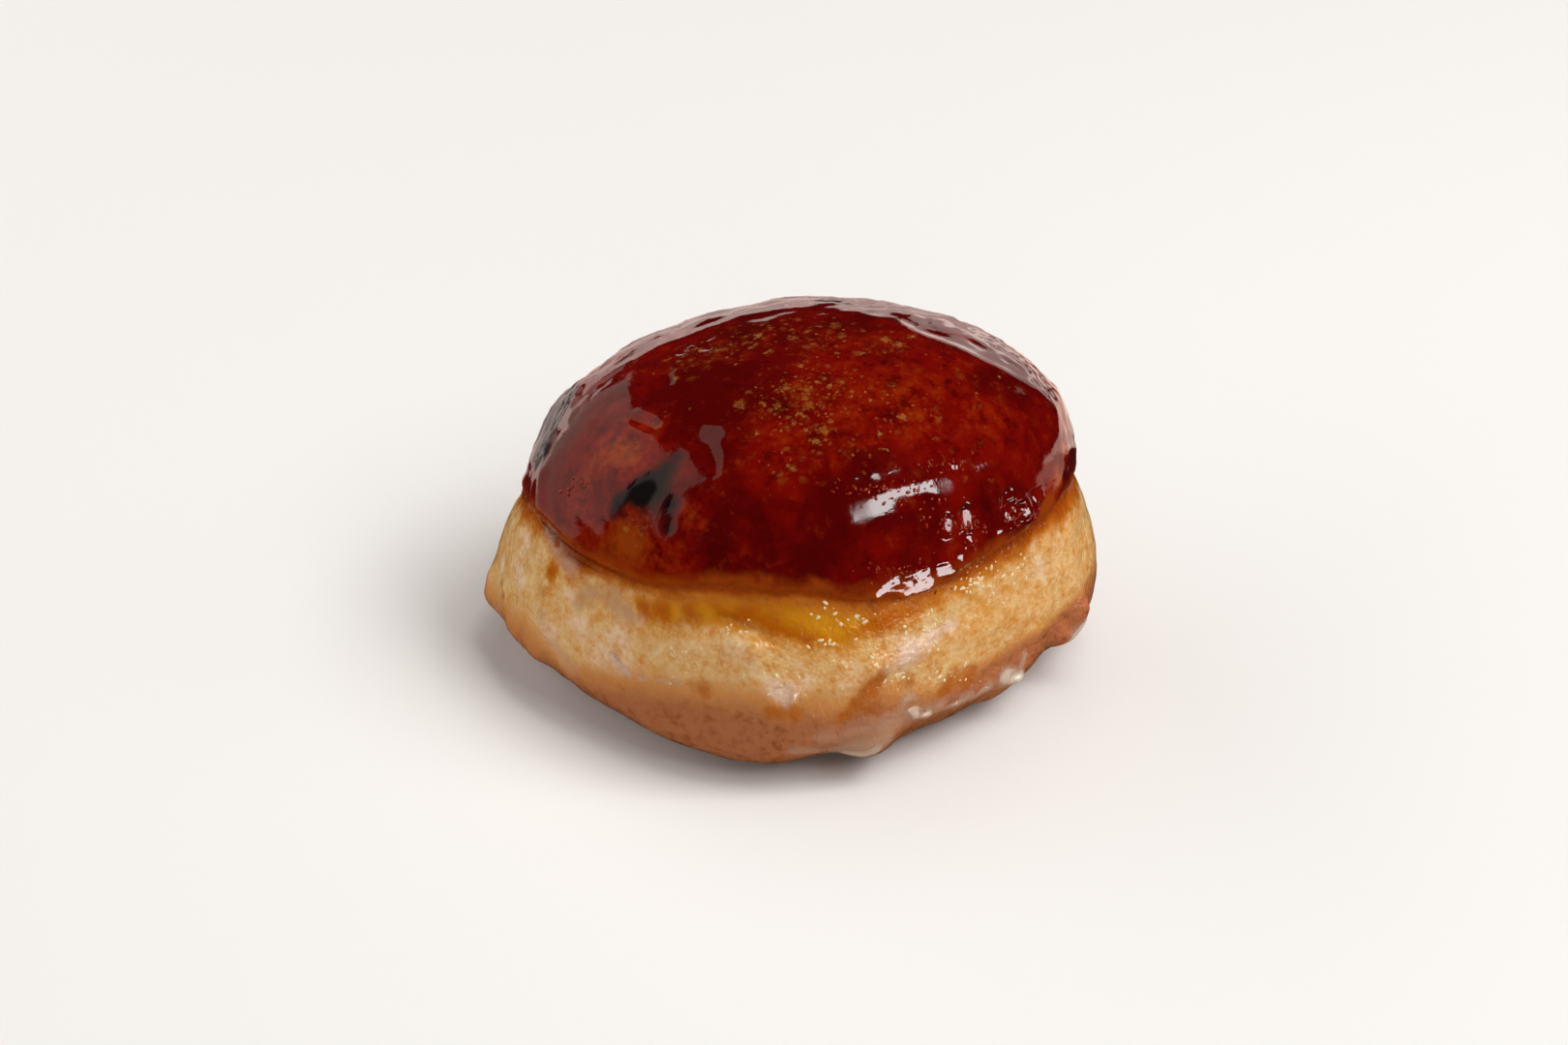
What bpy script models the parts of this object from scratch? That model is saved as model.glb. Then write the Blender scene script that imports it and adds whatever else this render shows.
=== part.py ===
# Square jam doughnut: one fried dough piece, uncut, with a burnt caramel layer over its top.
#
# Both solids come from the same rounded-square pillow. Its profile runs from the flat spot that
# the doughnut rests on, round a lower curve, up a steep wall and over a dome. Its plan has four
# soft flats, each at its own distance and turn, as hand-cut dough never rises evenly.
# +X and -Y are the two sides that meet at the front corner. Lengths are millimetres here, and
# become metres in the meshes.

import math

import bmesh
import bpy
from mathutils import Vector

MM = 0.001

# Plan: distance and turn in degrees of the flats that face +X, +Y, -X and -Y
FLAT_DISTANCES = (39.7, 39.6, 42.4, 40.9)
FLAT_TURNS = (-4.1, 5.1, -6.3, -1.1)
SQUARENESS_LOW = 2.71
SQUARENESS_TOP = 2.31

# Profile: the widest line, the shoulder where the dome starts, and the dome's top
WIDEST_HEIGHT = 9.0
SHOULDER_HEIGHT = 26.9
DOME_HEIGHT = 52.2
REST_REACH = 0.66
SHOULDER_REACH = 0.914
LOWER_FULLNESS = 1.95
WALL_FULLNESS = 1.86
DOME_FULLNESS = 2.4

# The dough leans and is a little higher towards +X
LEAN_X = 1.94
LEAN_Y = 1.6
RISE_X = 0.058
RISE_Y = 0.022
RISE_SPAN = 40.0

# Caramel: its thickness, the gap that keeps it clear of the dough, and its wavy lower rim. The
# dough's recess for it starts a little under the rim, and each grows to full depth over its band
CARAMEL_THICKNESS = 1.2
RIM_THICKNESS = 0.45
CLEARANCE = 0.3
RIM_HEIGHT = 27.2
RIM_BAND = 6.0
RECESS_BAND = 3.0
RECESS_LEAD = 0.5

# Low waves over the whole skin: wavelength across X, across Y and up Z, depth, and where they start
SKIN_WAVES = ((33.0, 41.0, 37.0, 0.45), (19.0, 17.0, 23.0, 0.22))
WAVE_START_X = 0.7
WAVE_START_Y = -0.4

# Swellings and hollows of the skin: azimuth, height, half width, half height, and how far out
SWELLINGS = {
    "beak on the left": (222.0, 8.1, 5.7, 2.4, 1.2),
    "hollow beside the beak": (239.0, 6.0, 10.7, 3.1, -1.9),
    "front foot": (297.0, 2.7, 22.0, 4.0, 1.3),
    "notch at the front corner": (318.6, 2.9, 5.3, 3.0, -2.1),
    "glaze drip at the front corner": (328.6, 3.3, 5.1, 5.6, 2.6),
    "hollow past the drip": (348.0, 4.1, 6.4, 3.5, -0.4),
    "glaze bead on the right": (5.3, 4.1, 6.3, 2.1, 1.9),
    "hollow past the bead": (21.7, 6.0, 4.8, 4.4, -1.5),
    "knob on the left shoulder": (212.0, 41.3, 8.0, 4.0, 1.6),
    "slack under the left shoulder": (200.5, 28.6, 17.0, 11.2, -0.6),
    "slack on the right wall": (33.4, 23.8, 15.7, 4.1, -0.5),
    "dip behind the top": (161.5, 46.5, 23.0, 7.8, -0.9),
    "fold at the back": (118.0, 6.0, 16.0, 4.0, 0.9),
    "hollow at the far left": (176.0, 7.0, 13.0, 5.0, -0.9),
}

# Rises and dips of the caramel's rim: azimuth, half width, and height
RIM_WANDER = {
    "rise over the front corner": (303.0, 24.0, 4.2),
    "rise on the left": (238.0, 8.0, 2.0),
    "dip past the left corner": (205.0, 15.0, -1.2),
    "rise at the back": (130.0, 30.0, 1.8),
    "dip at the far right": (60.0, 18.0, -1.0),
}

# Mesh: segments round the doughnut, rings along each stretch of the profile, rings over which the
# caramel's wall thickens from its edge, the step in rings that slopes are taken over, and how often
# a place along the profile is halved to find a height
SEGMENTS = 90
REST_RINGS = 1
LOWER_RINGS = 8
WALL_RINGS = 6
DOME_RINGS = 17
PROFILE_RINGS = REST_RINGS + LOWER_RINGS + WALL_RINGS + DOME_RINGS
CARAMEL_RINGS = 26
EDGE_RINGS = 4
SLOPE_STEP = 0.5
HALVINGS = 30

# Colours are linear
DOUGH_COLOUR = (0.52, 0.27, 0.09, 1.0)
DOUGH_ROUGHNESS = 0.45
CARAMEL_COLOUR = (0.09, 0.008, 0.003, 1.0)
CARAMEL_ROUGHNESS = 0.12


def clear_scene():
    for item in list(bpy.data.objects):
        bpy.data.objects.remove(item, do_unlink=True)


def smooth(value):
    held = min(max(value, 0.0), 1.0)
    return held * held * (3.0 - 2.0 * held)


def power(value, exponent):
    """A power that takes the tiny negative values that sines and cosines leave as zero."""
    return max(value, 0.0) ** exponent


def profile(along):
    """Reach, as a share of the plan's radius, and height for a place from 0, below, to 1, on top."""
    ring = along * PROFILE_RINGS
    if ring <= REST_RINGS:
        return REST_REACH * ring / REST_RINGS, 0.0
    ring -= REST_RINGS
    if ring <= LOWER_RINGS:
        turn = 0.5 * math.pi * ring / LOWER_RINGS
        reach = REST_REACH + (1.0 - REST_REACH) * power(math.sin(turn), 2.0 / LOWER_FULLNESS)
        return reach, WIDEST_HEIGHT * (1.0 - power(math.cos(turn), 2.0 / LOWER_FULLNESS))
    ring -= LOWER_RINGS
    if ring <= WALL_RINGS:
        rise = ring / WALL_RINGS
        reach = 1.0 - (1.0 - SHOULDER_REACH) * rise ** WALL_FULLNESS
        return reach, WIDEST_HEIGHT + (SHOULDER_HEIGHT - WIDEST_HEIGHT) * rise
    turn = 0.5 * math.pi * min((ring - WALL_RINGS) / DOME_RINGS, 1.0)
    reach = SHOULDER_REACH * power(math.cos(turn), 2.0 / DOME_FULLNESS)
    lift = (DOME_HEIGHT - SHOULDER_HEIGHT) * power(math.sin(turn), 2.0 / DOME_FULLNESS)
    return reach, SHOULDER_HEIGHT + lift


def plan_radius(azimuth, height):
    """Distance from the middle to the rounded square, which is rounder towards the top."""
    upward = min(max(height / DOME_HEIGHT, 0.0), 1.0)
    squareness = SQUARENESS_LOW + (SQUARENESS_TOP - SQUARENESS_LOW) * upward
    total = 0.0
    for side, (distance, turn) in enumerate(zip(FLAT_DISTANCES, FLAT_TURNS)):
        facing = math.cos(azimuth - math.radians(90.0 * side + turn))
        total += power(facing / distance, squareness)
    return total ** (-1.0 / squareness)


def angle_between(first, second):
    """Difference of two azimuths in degrees, from -180 to 180."""
    return (first - second + 180.0) % 360.0 - 180.0


def swelling(azimuth, height):
    """How far the named swellings push the skin out at a place."""
    degrees = math.degrees(azimuth)
    total = 0.0
    for centre, level, half_width, half_height, reach in SWELLINGS.values():
        across = angle_between(degrees, centre) / half_width
        upward = (height - level) / half_height
        total += reach * math.exp(-across * across - upward * upward)
    return total


def skin_wave(point):
    """Low waves of the skin, the same for the dough and the caramel, and none where it rests."""
    total = 0.0
    for length_x, length_y, length_z, depth in SKIN_WAVES:
        across = math.sin(2.0 * math.pi * point.x / length_x + WAVE_START_X)
        along = math.cos(2.0 * math.pi * point.y / length_y + WAVE_START_Y)
        upward = math.cos(2.0 * math.pi * point.z / length_z)
        total += depth * across * along * upward
    return total * smooth(point.z / WIDEST_HEIGHT)


def pillow(azimuth, along):
    """Point on the plain pillow, before waves and swellings."""
    reach, height = profile(along)
    radius = reach * plan_radius(azimuth, height)
    x = radius * math.cos(azimuth)
    y = radius * math.sin(azimuth)
    height *= 1.0 + (RISE_X * x + RISE_Y * y) / RISE_SPAN
    lean = height / DOME_HEIGHT
    return Vector((x + LEAN_X * lean, y + LEAN_Y * lean, height))


def outward(azimuth, along):
    """Direction that points out of the pillow, in the upright plane through the azimuth."""
    step = SLOPE_STEP / PROFILE_RINGS
    below = pillow(azimuth, max(along - step, 0.0))
    above = pillow(azimuth, min(along + step, 1.0))
    radial = Vector((math.cos(azimuth), math.sin(azimuth), 0.0))
    run = (above - below).dot(radial)
    rise = above.z - below.z
    normal = radial * rise - Vector((0.0, 0.0, run))
    if along >= 1.0 or normal.length == 0.0:
        return Vector((0.0, 0.0, 1.0))
    return normal.normalized()


def skin(azimuth, along, offset):
    """Point on the finished skin, moved out by an offset. The resting face stays flat."""
    point = pillow(azimuth, along)
    reach, height = profile(along)
    radial = Vector((math.cos(azimuth), math.sin(azimuth), 0.0))
    if height > 0.0:
        point += outward(azimuth, along) * (offset + skin_wave(point))
    if reach >= REST_REACH or height > 0.0:
        point += radial * swelling(azimuth, height)
    return point


def rim_height(azimuth):
    """Height of the caramel's lower rim, which wanders round the doughnut."""
    total = RIM_HEIGHT
    for centre, half_width, height in RIM_WANDER.values():
        across = angle_between(math.degrees(azimuth), centre) / half_width
        total += height * math.exp(-across * across)
    return total


def place_at_height(height):
    """Place along the profile that lies at a height above the widest line, by halving."""
    low = (REST_RINGS + LOWER_RINGS) / PROFILE_RINGS
    high = 1.0
    for _ in range(HALVINGS):
        middle = 0.5 * (low + high)
        if profile(middle)[1] < height:
            low = middle
        else:
            high = middle
    return 0.5 * (low + high)


def caramel_depth(azimuth, height):
    """Thickness of the caramel, thin at its rim and full a few millimetres higher."""
    inward = smooth((height - rim_height(azimuth)) / RIM_BAND)
    return RIM_THICKNESS + (CARAMEL_THICKNESS - RIM_THICKNESS) * inward


def dough_point(azimuth, along):
    """The dough is full below the rim, and sinks under the caramel by its depth and the gap."""
    height = profile(along)[1]
    covered = smooth(1.0 + (height - rim_height(azimuth) + RECESS_LEAD) / RECESS_BAND)
    return skin(azimuth, along, -covered * (caramel_depth(azimuth, height) + CLEARANCE))


def caramel_point(azimuth, along):
    """Places from 1 to 0.5 cover the outside, top to rim, and from 0.5 to 0 the inside."""
    rim = place_at_height(rim_height(azimuth))
    share = abs(2.0 * along - 1.0)
    place = rim + (1.0 - rim) * share
    if along >= 0.5:
        return skin(azimuth, place, 0.0)
    edge = smooth(share * CARAMEL_RINGS / EDGE_RINGS)
    depth = caramel_depth(azimuth, profile(place)[1])
    return skin(azimuth, place, -depth * edge)


def shaped_ball(name, rings, place, colour, roughness):
    """A closed ball whose rings, bottom to top, are laid on the points that place gives."""
    mesh = bpy.data.meshes.new(name)
    ball = bmesh.new()
    bmesh.ops.create_uvsphere(ball, u_segments=SEGMENTS, v_segments=rings, radius=1.0)
    for vertex in ball.verts:
        azimuth = math.atan2(vertex.co.y, vertex.co.x)
        along = 1.0 - math.acos(min(max(vertex.co.z, -1.0), 1.0)) / math.pi
        vertex.co = place(azimuth, along) * MM
    bmesh.ops.triangulate(ball, faces=ball.faces)
    bmesh.ops.recalc_face_normals(ball, faces=ball.faces)
    ball.to_mesh(mesh)
    ball.free()
    mesh.shade_smooth()

    material = bpy.data.materials.new(name)
    material.use_nodes = True
    shader = material.node_tree.nodes["Principled BSDF"]
    shader.inputs["Base Color"].default_value = colour
    shader.inputs["Roughness"].default_value = roughness
    shader.inputs["Metallic"].default_value = 0.0
    mesh.materials.append(material)

    piece = bpy.data.objects.new(name, mesh)
    bpy.context.collection.objects.link(piece)
    return piece


def centre_over_origin(pieces):
    """Move the meshes so that the middle of their common box stands over the origin."""
    corners = [vertex.co for piece in pieces for vertex in piece.data.vertices]
    middle_x = 0.5 * (min(c.x for c in corners) + max(c.x for c in corners))
    middle_y = 0.5 * (min(c.y for c in corners) + max(c.y for c in corners))
    for piece in pieces:
        for vertex in piece.data.vertices:
            vertex.co -= Vector((middle_x, middle_y, 0.0))


clear_scene()
dough = shaped_ball("dough", PROFILE_RINGS, dough_point, DOUGH_COLOUR, DOUGH_ROUGHNESS)
caramel = shaped_ball("caramel_top", CARAMEL_RINGS, caramel_point, CARAMEL_COLOUR,
                      CARAMEL_ROUGHNESS)
centre_over_origin([dough, caramel])
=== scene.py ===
from math import cos, pi, radians, sin

import bpy
import numpy as np
from mathutils import Matrix, Vector


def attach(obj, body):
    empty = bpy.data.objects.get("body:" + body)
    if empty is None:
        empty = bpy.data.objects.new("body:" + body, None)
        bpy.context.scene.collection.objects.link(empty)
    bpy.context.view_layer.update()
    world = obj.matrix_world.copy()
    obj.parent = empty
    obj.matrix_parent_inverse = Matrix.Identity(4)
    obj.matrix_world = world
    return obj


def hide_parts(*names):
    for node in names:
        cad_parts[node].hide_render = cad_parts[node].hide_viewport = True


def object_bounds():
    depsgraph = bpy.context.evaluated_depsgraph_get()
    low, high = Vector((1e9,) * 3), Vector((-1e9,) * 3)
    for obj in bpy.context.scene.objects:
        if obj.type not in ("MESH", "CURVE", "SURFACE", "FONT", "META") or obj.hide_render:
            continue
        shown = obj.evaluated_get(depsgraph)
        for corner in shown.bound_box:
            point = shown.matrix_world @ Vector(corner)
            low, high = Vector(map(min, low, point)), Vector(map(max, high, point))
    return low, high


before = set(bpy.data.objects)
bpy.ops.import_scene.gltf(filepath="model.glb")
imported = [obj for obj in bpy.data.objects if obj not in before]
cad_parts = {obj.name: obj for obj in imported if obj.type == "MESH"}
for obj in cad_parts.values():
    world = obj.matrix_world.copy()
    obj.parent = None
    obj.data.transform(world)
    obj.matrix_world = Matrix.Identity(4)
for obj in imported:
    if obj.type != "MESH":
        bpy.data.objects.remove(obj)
cad_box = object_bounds()

# Camera
# The doughnut was photographed from a little above, over its front corner, with a long lens.
# The eye sits where a pillow fitted to the outline in the photograph puts it.

MM = 0.001
LENS = 90.0
SENSOR = 36.0
EYE_AZIMUTH = radians(41.74)
EYE_ELEVATION = radians(32.0)
EYE_DISTANCE = 607.0 * MM
AIM = Vector((-0.31, -0.41, 20.0)) * MM

eye_back = Vector((
    sin(EYE_AZIMUTH) * cos(EYE_ELEVATION),
    -cos(EYE_AZIMUTH) * cos(EYE_ELEVATION),
    sin(EYE_ELEVATION),
))
eye_right = Vector((cos(EYE_AZIMUTH), sin(EYE_AZIMUTH), 0.0))
eye_up = eye_back.cross(eye_right)
eye_place = AIM + eye_back * EYE_DISTANCE

camera = bpy.data.objects.new("camera", bpy.data.cameras.new("camera"))
bpy.context.collection.objects.link(camera)
camera.data.lens = LENS
camera.data.sensor_width = SENSOR
camera.matrix_world = Matrix.Translation(eye_place) @ Matrix(
    (eye_right, eye_up, eye_back)).transposed().to_4x4()
bpy.context.scene.camera = camera

# Skin
# One fine closed skin over the outside of both solids. The dough, the caramel and the glaze are
# made from copies of it. It starts as a cube that is subdivided, rounded and shrunk on, and the
# step at the caramel's rim is then smoothed.

SKIN_CUTS = (8, 13)
SKIN_ROOM = 1.45
OUTLINE_LEVELS = 2
TOUCHING = 0.001
BLUR_SHARE = 0.5
SKIN_BLUR = 6
RIM_COLUMNS = 90
RIM_BAND = 2.2
RIM_BLUR = 32
FAINT = 0.01


def deselect_all():
    for item in bpy.context.selected_objects:
        item.select_set(False)


def select_only(*pieces):
    deselect_all()
    for piece in pieces:
        piece.select_set(True)
    bpy.context.view_layer.objects.active = pieces[0]


def apply_modifier(piece, kind, **settings):
    """Add one modifier to a piece, set it, and apply it."""
    select_only(piece)
    modifier = piece.modifiers.new(kind.lower(), kind)
    for name, value in settings.items():
        setattr(modifier, name, value)
    bpy.ops.object.modifier_apply(modifier=modifier.name)


def copied(piece, name):
    twin = bpy.data.objects.new(name, piece.data.copy())
    bpy.context.collection.objects.link(twin)
    return twin


def smooth_outline():
    """Both solids joined, as quads that are subdivided once they are merged."""
    parts = [copied(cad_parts[node], node + "_outline") for node in ("dough", "caramel_top")]
    select_only(*parts)
    bpy.ops.object.join()
    outline = bpy.context.view_layer.objects.active
    bpy.ops.object.mode_set(mode="EDIT")
    bpy.ops.mesh.select_all(action="SELECT")
    bpy.ops.mesh.remove_doubles(threshold=TOUCHING * MM)
    bpy.ops.mesh.tris_convert_to_quads()
    bpy.ops.object.mode_set(mode="OBJECT")
    apply_modifier(outline, "SUBSURF", levels=OUTLINE_LEVELS, render_levels=OUTLINE_LEVELS)
    return outline


low, high = (Vector(corner) for corner in cad_box)
outline = smooth_outline()
deselect_all()
bpy.ops.mesh.primitive_cube_add(size=1.0, location=0.5 * (low + high))
skin = bpy.context.view_layer.objects.active
bpy.ops.object.mode_set(mode="EDIT")
for cuts in SKIN_CUTS:
    bpy.ops.mesh.select_all(action="SELECT")
    bpy.ops.mesh.subdivide(number_cuts=cuts)
bpy.ops.mesh.select_all(action="SELECT")
bpy.ops.transform.tosphere(value=1.0)
bpy.ops.object.mode_set(mode="OBJECT")
skin.scale = (high - low) * SKIN_ROOM / skin.dimensions.x
select_only(skin)
bpy.ops.object.transform_apply(location=True, rotation=True, scale=True)
apply_modifier(skin, "SHRINKWRAP", target=outline, wrap_method="PROJECT",
               use_negative_direction=True, use_positive_direction=False)
apply_modifier(skin, "SMOOTH", factor=BLUR_SHARE, iterations=SKIN_BLUR)
bpy.data.objects.remove(outline)


def points_of(piece):
    """A piece's vertices as rows of x, y and z in millimetres."""
    flat = np.empty(len(piece.data.vertices) * 3, np.float32)
    piece.data.vertices.foreach_get("co", flat)
    return flat.reshape(-1, 3).astype(float) / MM


rim_points = points_of(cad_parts["caramel_top"])
rim_turns = np.arctan2(rim_points[:, 1], rim_points[:, 0])
rim_bins = np.round((rim_turns + pi) / (2.0 * pi) * RIM_COLUMNS).astype(int) % RIM_COLUMNS
rim_heights = np.array([rim_points[rim_bins == column, 2].min() for column in range(RIM_COLUMNS)])
# A column that no corner of the rim falls in takes its height from its neighbours.
neighbours = np.maximum(np.roll(rim_heights, 1), np.roll(rim_heights, -1))
rim_heights = np.minimum(rim_heights, neighbours)
rim_centres = np.arange(RIM_COLUMNS) * 2.0 * pi / RIM_COLUMNS - pi


def above_rim(points):
    """Height in millimetres over the caramel's lower rim, straight above or below it."""
    turns = np.arctan2(points[:, 1], points[:, 0])
    return points[:, 2] - np.interp(turns, rim_centres, rim_heights, period=2.0 * pi)


rim_group = skin.vertex_groups.new(name="rim")
for vertex, weight in enumerate(np.exp(-(above_rim(points_of(skin)) / RIM_BAND) ** 2)):
    if weight > FAINT:
        rim_group.add([vertex], weight, "REPLACE")
apply_modifier(skin, "SMOOTH", factor=BLUR_SHARE, iterations=RIM_BLUR, vertex_group="rim")
skin.vertex_groups.clear()

# Dough
# Soft fried dough in one piece: pale where it floated, browned underneath and under the caramel.
# The whole of it wears a thin clear sugar glaze, and it rests on its flat underside.


def set_points(piece, points):
    piece.data.vertices.foreach_set("co", (points * MM).astype(np.float32).ravel())
    piece.data.update()


def normals_of(piece):
    flat = np.empty(len(piece.data.vertices) * 3, np.float32)
    piece.data.vertices.foreach_get("normal", flat)
    return flat.reshape(-1, 3).astype(float)


PHOTO_WIDTH = 1620
PHOTO_HEIGHT = 1080


def sight_line(across, down):
    """Direction from the eye through a place in the photograph, in its pixels."""
    focal = LENS / SENSOR * PHOTO_WIDTH
    sideways = eye_right * (across - 0.5 * PHOTO_WIDTH)
    upward = eye_up * (0.5 * PHOTO_HEIGHT - down)
    return (sideways + upward - eye_back * focal).normalized()


def strike(piece, across, down):
    """Point of a piece, in millimetres, that shows at a place in the photograph, and its normal."""
    hit, place, normal, _ = piece.ray_cast(eye_place, sight_line(across, down))
    if not hit:
        raise ValueError(f"nothing of the doughnut shows at {across}, {down}")
    return np.array(place) / MM, np.array(normal)


def on_skin(across, down):
    return strike(skin, across, down)[0]


def ease(values, start, end):
    """Soft step from 0 at start to 1 at end."""
    share = np.clip((values - start) / (end - start), 0.0, 1.0)
    return share * share * (3.0 - 2.0 * share)


RIPPLE_WAVES = 9
RIPPLE_LENGTHS = (0.7, 1.5)
RIPPLE_SCALE = 0.6
NO_LENGTH = 1e-9


def ripples(points, wavelength, seed):
    """Soft bumps from -1 to 1: sines along seeded directions, whose lengths vary about one size."""
    draw = np.random.default_rng(seed)
    total = np.zeros(len(points))
    for _ in range(RIPPLE_WAVES):
        way = draw.normal(size=3)
        way /= np.linalg.norm(way)
        length = wavelength * draw.uniform(*RIPPLE_LENGTHS)
        total += np.sin(points @ way * 2.0 * pi / length + draw.uniform(0.0, 2.0 * pi))
    return total / (RIPPLE_SCALE * RIPPLE_WAVES)


def to_path(points, places):
    """Distance in millimetres from each point to a line through places in the photograph."""
    knots = [on_skin(*place) for place in places]
    nearest = np.full(len(points), np.inf)
    for start, end in zip(knots, knots[1:] or knots):
        along = end - start
        share = np.clip((points - start) @ along / max(along @ along, NO_LENGTH), 0.0, 1.0)
        gaps = np.linalg.norm(points - start - share[:, None] * along, axis=1)
        nearest = np.minimum(nearest, gaps)
    return nearest


def patches(points, marks):
    """Sum of soft round patches: each mark is a place in the photograph, a radius and a weight."""
    total = np.zeros(len(points))
    for place, radius, weight in marks:
        total += weight * np.exp(-(to_path(points, [place]) / radius) ** 2)
    return total


RIM_SWELL = 0.85
SWELL_ABOVE = 8.0
SWELL_BELOW = 7.0
SWELL_FACING = (0.15, 0.6)
SWELL_BEHIND = 0.25
RIM_BEADS = (
    (((890, 612), (915, 608), (940, 606), (962, 598), (985, 588)), 2.2, 0.40),
    (((972, 580),), 1.1, 0.35), (((1036, 545), (1056, 530), (1070, 515)), 1.6, 0.35),
    (((560, 490), (560, 525), (568, 555), (585, 578), (604, 592)), 1.4, 0.36),
)
RIM_WANDER = ((8.0, 0.5, 21), (3.0, 0.25, 22))


def rim_swell(height_over_rim, normals):
    """How far the doughnut bulges round the caramel's rim, most where it faces the eye."""
    facing = ease(normals @ np.array(eye_back), *SWELL_FACING)
    above = 1.0 - np.clip(height_over_rim / SWELL_ABOVE, 0.0, 1.0)
    below = 1.0 - ease(height_over_rim, 0.0, -SWELL_BELOW)
    return RIM_SWELL * (SWELL_BEHIND + (1.0 - SWELL_BEHIND) * facing) * above ** 2 * below


def rim_beads(points):
    """Height of the thick drops along the caramel's rim, which the dough fills from inside."""
    total = np.zeros(len(points))
    for places, width, height in RIM_BEADS:
        total += height * np.exp(-(to_path(points, places) / width) ** 2)
    return total


def rim_height(points):
    """Height over the caramel's rim, with the small wandering of its feathered edge."""
    total = above_rim(points)
    for wavelength, depth, seed in RIM_WANDER:
        total += depth * ripples(points, wavelength, seed)
    return total


UNDER_EDGE = -0.08
BEAD_FILL = 0.85
UNDER_CARAMEL = -0.6
UNDER_EDGE_RISE = (-1.0, 0.5)
UNDER_CARAMEL_RISE = (1.8, 4.5)
LUMPS_ABOVE_FLOOR = (0.0, 3.0)
LUMPS_BELOW_RIM = (-1.0, 1.0)
DOUGH_LUMPS = ((11.0, 0.22, 3), (5.0, 0.13, 4), (2.2, 0.05, 5))
FRY_PLACES = (
    (508, 622), (519, 634), (543, 650), (567, 677), (584, 693), (612, 704), (653, 711), (694, 717),
    (735, 721), (786, 729), (811, 737), (843, 732), (875, 738), (895, 716), (934, 722), (973, 720),
    (995, 703), (1034, 677), (1060, 661), (1093, 638), (1110, 616),
)
HIDDEN_FRY_HEIGHT = 13.0
FRY_FADE = 0.6
SHARP_CRUST = 1.6
SHARP_FROM = (-0.5, 0.1)
SHARP_UNTIL = (1.0, 1.6)
HONEY_MARKS = (
    ((668, 628), 1.8, 0.6), ((690, 630), 2.4, 0.8), ((718, 630), 2.4, 0.8), ((745, 622), 2.6, 0.9),
    ((775, 625), 2.8, 1.0), ((805, 634), 3.2, 1.0), ((835, 640), 3.4, 1.0), ((862, 642), 3.2, 1.0),
    ((888, 636), 2.8, 0.9), ((915, 634), 2.4, 0.8), ((940, 630), 2.0, 0.6), ((965, 618), 1.8, 0.6),
    ((990, 606), 1.6, 0.6), ((572, 590), 1.5, 0.8), ((592, 597), 1.3, 0.5), ((1020, 590), 1.6, 0.5),
    ((1050, 570), 1.6, 0.5),
)
YELLOW_MARKS = (
    ((843, 638), 3.2, 0.7), ((862, 654), 2.8, 0.6), ((885, 640), 2.0, 0.6), ((700, 636), 1.6, 0.7),
    ((1010, 620), 3.0, 0.4), ((1050, 600), 3.0, 0.5), ((890, 672), 3.0, 0.4),
    ((985, 625), 2.4, 0.4), ((1085, 560), 2.6, 0.5), ((730, 630), 2.4, 0.8), ((758, 620), 1.8, 0.5),
    ((788, 628), 2.4, 0.45), ((815, 632), 2.6, 0.5), ((700, 622), 1.6, 0.4),
)
TAN_MARKS = (
    ((728, 712), 1.7, 0.9), ((712, 706), 1.2, 0.6), ((796, 736), 1.6, 1.0), ((820, 738), 1.8, 1.0),
    ((864, 758), 1.3, 1.1), ((872, 742), 1.4, 1.1), ((884, 728), 1.4, 1.0), ((898, 712), 1.5, 1.0),
    ((908, 700), 1.4, 0.9), ((912, 690), 1.2, 0.5), ((519, 602), 0.9, 1.0), ((521, 616), 0.9, 1.0),
    ((560, 610), 1.8, 0.5), ((558, 634), 1.8, 0.5), ((905, 655), 2.2, 0.45),
    ((925, 648), 2.2, 0.45), ((948, 642), 2.2, 0.45), ((965, 690), 2.2, 0.6),
    ((940, 702), 2.2, 0.7), ((985, 700), 2.2, 0.8), ((1005, 690), 1.8, 0.7), ((975, 716), 1.8, 0.9),
    ((1000, 706), 1.8, 0.8), ((1030, 680), 1.6, 0.6), ((905, 730), 2.0, 0.6),
    ((640, 710), 2.0, 0.4), ((770, 700), 1.6, 0.35), ((850, 700), 1.6, 0.3), ((940, 618), 1.6, 0.8),
    ((910, 618), 1.6, 0.7), ((965, 606), 1.4, 0.7), ((1000, 582), 1.6, 0.9),
    ((1035, 560), 1.5, 0.75), ((1062, 545), 1.3, 0.35),
)
MILKY_MARKS = (
    ((640, 660), 2.6, 0.9), ((600, 650), 2.4, 0.8), ((570, 655), 2.2, 0.7), ((620, 680), 2.6, 0.7),
    ((540, 600), 2.0, 0.9), ((535, 580), 2.0, 0.7), ((545, 560), 2.0, 0.6), ((508, 600), 1.4, 0.8),
    ((590, 612), 1.6, 0.9), ((938, 670), 2.0, 1.5), ((962, 658), 1.4, 1.2), ((980, 648), 1.2, 0.9),
    ((880, 700), 2.4, 0.5), ((810, 720), 1.8, 1.2), ((795, 708), 1.4, 0.7), ((945, 734), 1.8, 0.9),
    ((975, 728), 1.6, 0.7), ((1000, 718), 1.6, 0.7), ((1030, 704), 1.8, 0.9),
    ((1048, 698), 1.8, 1.0), ((1064, 682), 1.4, 0.6), ((518, 585), 1.4, 0.9),
    ((508, 622), 1.2, 0.8), ((640, 690), 1.2, 0.8), ((1060, 560), 2.0, 0.6),
    ((760, 668), 2.4, 0.45), ((725, 665), 2.4, 0.4), ((830, 705), 2.6, 0.5), ((800, 715), 1.8, 0.6),
    ((1075, 590), 2.4, 0.5), ((1090, 560), 2.0, 0.5), ((655, 690), 2.0, 0.5),
    ((930, 745), 2.6, 0.3), ((910, 765), 2.6, 0.3), ((960, 735), 1.6, 0.6), ((780, 690), 2.0, 0.4),
)
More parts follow.
